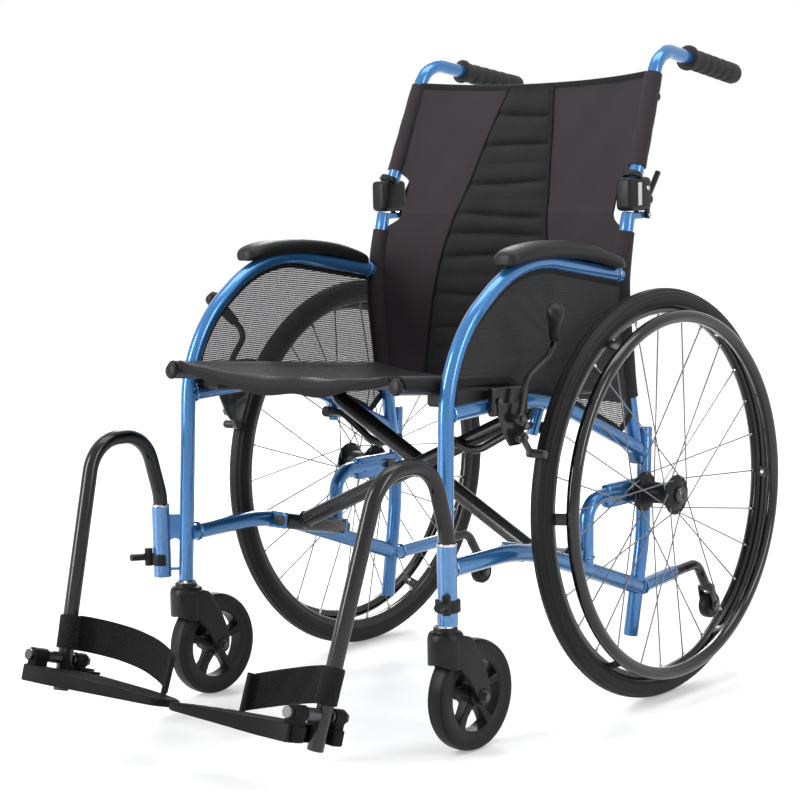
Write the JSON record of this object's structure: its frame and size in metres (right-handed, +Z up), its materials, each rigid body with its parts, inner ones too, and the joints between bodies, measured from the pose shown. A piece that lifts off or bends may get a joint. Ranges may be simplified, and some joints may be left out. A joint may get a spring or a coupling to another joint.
{
  "type": "folding self-propelled wheelchair",
  "caption": "Folding self-propelled wheelchair with spoked rear wheels, handrims, swivelling casters, cross brace, sling seat and swing-away footrests.",
  "frame": {"origin": "on the floor, under the middle of the chair's width and length", "axes": "+Z up, the chair faces -Y, +X towards the sitter's left"},
  "size_m": [0.6922, 1.1019, 0.9726],
  "materials": {
    "blue_lacquer": "metallic gloss lacquer",
    "black_plastic": "moulded, lightly grained",
    "black_rubber": "matt tyre and grip rubber",
    "bright_steel": "bright plated",
    "black_nylon": "woven nylon",
    "dark_plastic": "moulded satin",
    "black_paint": "black lacquer"
  },
  "bodies": {
    "frame_right": {"side_frame_right": "blue_lacquer", "armrest_pad_right": "black_plastic", "side_guard_right": "black_nylon", "seat_guide_right": "black_plastic", "brace_pivot_bolt_right": "bright_steel", "rear_axle_right": "bright_steel", "anti_tip_arm_right": "black_paint", "lock_mount_right": "black_paint", "back_lower": "black_nylon"},
    "frame_left": {"side_frame_left": "blue_lacquer", "armrest_pad_left": "black_plastic", "side_guard_left": "black_nylon", "seat_guide_left": "black_plastic", "brace_pivot_bolt_left": "bright_steel", "rear_axle_left": "bright_steel", "anti_tip_arm_left": "black_paint", "lock_mount_left": "black_paint"},
    "brace_front": {"brace_front": "black_paint", "brace_centre_bolt": "bright_steel", "seat_sling": "black_nylon"},
    "brace_rear": {"brace_rear": "black_paint"},
    "link_left": {"stabiliser_link_left": "black_paint"},
    "upper_back_left": {"upper_cane_left": "blue_lacquer", "push_grip_left": "black_rubber", "back_hinge_left": "black_plastic"},
    "back_release_left": {"back_release_left": "black_plastic"},
    "rear_wheel_left": {"rear_wheel_left": "black_paint", "rear_tyre_left": "black_rubber", "handrim_left": "black_paint"},
    "caster_fork_left": {"caster_fork_left": "black_plastic"},
    "caster_wheel_left": {"caster_wheel_left": "dark_plastic", "caster_tyre_left": "black_rubber"},
    "hanger_left": {"footrest_hanger_left": "black_paint", "heel_strap_left": "black_nylon"},
    "hanger_release_left": {"hanger_release_left": "black_plastic"},
    "footplate_pin_left": {"footplate_pin_left": "bright_steel"},
    "footplate_left": {"footplate_left": "black_plastic"},
    "anti_tip_wheel_left": {"anti_tip_wheel_left": "black_rubber"},
    "lock_lever_left": {"lock_lever_left": "black_paint"},
    "lock_shoe_left": {"lock_shoe_left": "bright_steel"},
    "link_right": {"stabiliser_link_right": "black_paint"},
    "upper_back_right": {"upper_cane_right": "blue_lacquer", "push_grip_right": "black_rubber", "back_hinge_right": "black_plastic", "back_upper": "black_nylon"},
    "back_release_right": {"back_release_right": "black_plastic"},
    "rear_wheel_right": {"rear_wheel_right": "black_paint", "rear_tyre_right": "black_rubber", "handrim_right": "black_paint"},
    "caster_fork_right": {"caster_fork_right": "black_plastic"},
    "caster_wheel_right": {"caster_wheel_right": "dark_plastic", "caster_tyre_right": "black_rubber"},
    "hanger_right": {"footrest_hanger_right": "black_paint", "heel_strap_right": "black_nylon"},
    "hanger_release_right": {"hanger_release_right": "black_plastic"},
    "footplate_pin_right": {"footplate_pin_right": "bright_steel"},
    "footplate_right": {"footplate_right": "black_plastic"},
    "anti_tip_wheel_right": {"anti_tip_wheel_right": "black_rubber"},
    "lock_lever_right": {"lock_lever_right": "black_paint"},
    "lock_shoe_right": {"lock_shoe_right": "bright_steel"}
  },
  "joints": [
    {"name": "fold", "type": "hinge", "parent": "frame_right", "child": "brace_front", "pos_m": [-0.2225, -0.0058, 0.24], "axis": [0, -0.9772, 0.2122], "range_deg": [0, 52], "deforming": ["seat_sling", "back_lower", "back_upper"]},
    {"name": "brace_cross", "type": "hinge", "parent": "brace_front", "child": "brace_rear", "pos_m": [0, 0.01678, 0.34398], "axis": [0, -0.9772, 0.2122], "range_deg": [-104, 0]},
    {"name": "frame_left_pivot", "type": "hinge", "parent": "brace_rear", "child": "frame_left", "pos_m": [0.2225, -0.0058, 0.24], "axis": [0, -0.9772, 0.2122], "range_deg": [0, 52]},
    {"name": "link_pivot_left", "type": "hinge", "parent": "frame_left", "child": "link_left", "pos_m": [0.238, -0.00045, 0.42252], "axis": [0, -0.9772, 0.2122], "range_deg": [-81, 0]},
    {"name": "link_pivot_right", "type": "hinge", "parent": "frame_right", "child": "link_right", "pos_m": [-0.238, 0.06502, 0.4083], "axis": [0, -0.9772, 0.2122], "range_deg": [0, 81]},
    {"name": "back_fold_left", "type": "hinge", "parent": "frame_left", "child": "upper_back_left", "pos_m": [0.243, 0.2532, 0.716], "axis": [-1, 0, 0], "range_deg": [0, 95]},
    {"name": "back_release_left", "type": "hinge", "parent": "upper_back_left", "child": "back_release_left", "pos_m": [0.243, 0.2647, 0.739], "axis": [1, 0, 0], "range_deg": [0, 15], "stiffness_Nm_per_rad": 0.2},
    {"name": "back_fold_right", "type": "hinge", "parent": "frame_right", "child": "upper_back_right", "pos_m": [-0.243, 0.2532, 0.716], "axis": [-1, 0, 0], "range_deg": [0, 95]},
    {"name": "back_release_right", "type": "hinge", "parent": "upper_back_right", "child": "back_release_right", "pos_m": [-0.243, 0.2647, 0.739], "axis": [1, 0, 0], "range_deg": [0, 15], "stiffness_Nm_per_rad": 0.2},
    {"name": "rear_wheel_left_spin", "type": "hinge", "parent": "frame_left", "child": "rear_wheel_left", "pos_m": [0.298, 0.2122, 0.305], "axis": [1, 0, 0], "continuous": true},
    {"name": "caster_swivel_left", "type": "hinge", "parent": "frame_left", "child": "caster_fork_left", "pos_m": [0.255, -0.2368, 0.179], "axis": [0, 0, 1], "continuous": true},
    {"name": "caster_wheel_left_spin", "type": "hinge", "parent": "caster_fork_left", "child": "caster_wheel_left", "pos_m": [0.255, -0.1868, 0.077], "axis": [1, 0, 0], "continuous": true},
    {"name": "anti_tip_wheel_left_spin", "type": "hinge", "parent": "frame_left", "child": "anti_tip_wheel_left", "pos_m": [0.235, 0.4442, 0.087], "axis": [1, 0, 0], "continuous": true},
    {"name": "rear_wheel_right_spin", "type": "hinge", "parent": "frame_right", "child": "rear_wheel_right", "pos_m": [-0.298, 0.2122, 0.305], "axis": [1, 0, 0], "continuous": true},
    {"name": "caster_swivel_right", "type": "hinge", "parent": "frame_right", "child": "caster_fork_right", "pos_m": [-0.255, -0.2368, 0.179], "axis": [0, 0, 1], "continuous": true},
    {"name": "caster_wheel_right_spin", "type": "hinge", "parent": "caster_fork_right", "child": "caster_wheel_right", "pos_m": [-0.255, -0.1868, 0.077], "axis": [1, 0, 0], "continuous": true},
    {"name": "anti_tip_wheel_right_spin", "type": "hinge", "parent": "frame_right", "child": "anti_tip_wheel_right", "pos_m": [-0.235, 0.4442, 0.087], "axis": [1, 0, 0], "continuous": true},
    {"name": "hanger_swing_left", "type": "hinge", "parent": "frame_left", "child": "hanger_left", "pos_m": [0.28, -0.2608, 0.298], "axis": [0, 0, 1], "range_deg": [0, 90]},
    {"name": "hanger_release_left", "type": "hinge", "parent": "frame_left", "child": "hanger_release_left", "pos_m": [0.2915, -0.2773, 0.208], "axis": [0, 0, 1], "range_deg": [0, 35], "stiffness_Nm_per_rad": 0.05},
    {"name": "footplate_lift_left", "type": "hinge", "parent": "hanger_left", "child": "footplate_pin_left", "pos_m": [0.2526, -0.4762, 0.11], "axis": [0, 0.9584, -0.2856], "range_deg": [0, 97], "deforming": ["heel_strap_left"]},
    {"name": "footplate_flip_left", "type": "hinge", "parent": "footplate_pin_left", "child": "footplate_left", "pos_m": [0.2526, -0.4762, 0.11], "axis": [0, -0.9584, 0.2856], "range_deg": [-95, 0]},
    {"name": "lock_lever_left", "type": "hinge", "parent": "frame_left", "child": "lock_lever_left", "pos_m": [0.2885, -0.1108, 0.45], "axis": [1, 0, 0], "range_deg": [0, 50]},
    {"name": "lock_shoe_left", "type": "hinge", "parent": "frame_left", "child": "lock_shoe_left", "pos_m": [0.2885, -0.1058, 0.424], "axis": [1, 0, 0], "range_deg": [0, 8.8]},
    {"name": "hanger_swing_right", "type": "hinge", "parent": "frame_right", "child": "hanger_right", "pos_m": [-0.28, -0.2608, 0.298], "axis": [0, 0, -1], "range_deg": [0, 90]},
    {"name": "hanger_release_right", "type": "hinge", "parent": "frame_right", "child": "hanger_release_right", "pos_m": [-0.2915, -0.2773, 0.208], "axis": [0, 0, -1], "range_deg": [0, 35], "stiffness_Nm_per_rad": 0.05},
    {"name": "footplate_lift_right", "type": "hinge", "parent": "hanger_right", "child": "footplate_pin_right", "pos_m": [-0.2526, -0.4762, 0.11], "axis": [0, -0.9584, 0.2856], "range_deg": [0, 71], "deforming": ["heel_strap_right"]},
    {"name": "footplate_flip_right", "type": "hinge", "parent": "footplate_pin_right", "child": "footplate_right", "pos_m": [-0.2526, -0.4762, 0.11], "axis": [0, 0.9584, -0.2856], "range_deg": [-95, 0]},
    {"name": "lock_lever_right", "type": "hinge", "parent": "frame_right", "child": "lock_lever_right", "pos_m": [-0.2885, -0.1108, 0.45], "axis": [1, 0, 0], "range_deg": [0, 50]},
    {"name": "lock_shoe_right", "type": "hinge", "parent": "frame_right", "child": "lock_shoe_right", "pos_m": [-0.2885, -0.1058, 0.424], "axis": [1, 0, 0], "range_deg": [0, 8.8]}
  ],
  "couplings": [
    {"joint": "brace_cross", "follows": "fold", "ratio": -2},
    {"joint": "frame_left_pivot", "follows": "fold", "ratio": 1},
    {"joint": "link_pivot_right", "follows": "fold", "ratio": 1.55},
    {"joint": "link_pivot_left", "follows": "fold", "ratio": -1.55},
    {"joint": "footplate_lift_left", "follows": "fold", "ratio": 1.85},
    {"joint": "footplate_lift_right", "follows": "fold", "ratio": 1.35},
    {"joint": "back_fold_left", "follows": "back_fold_right", "ratio": 1},
    {"joint": "lock_shoe_left", "follows": "lock_lever_left", "ratio": 0.176},
    {"joint": "lock_shoe_right", "follows": "lock_lever_right", "ratio": 0.176}
  ]
}
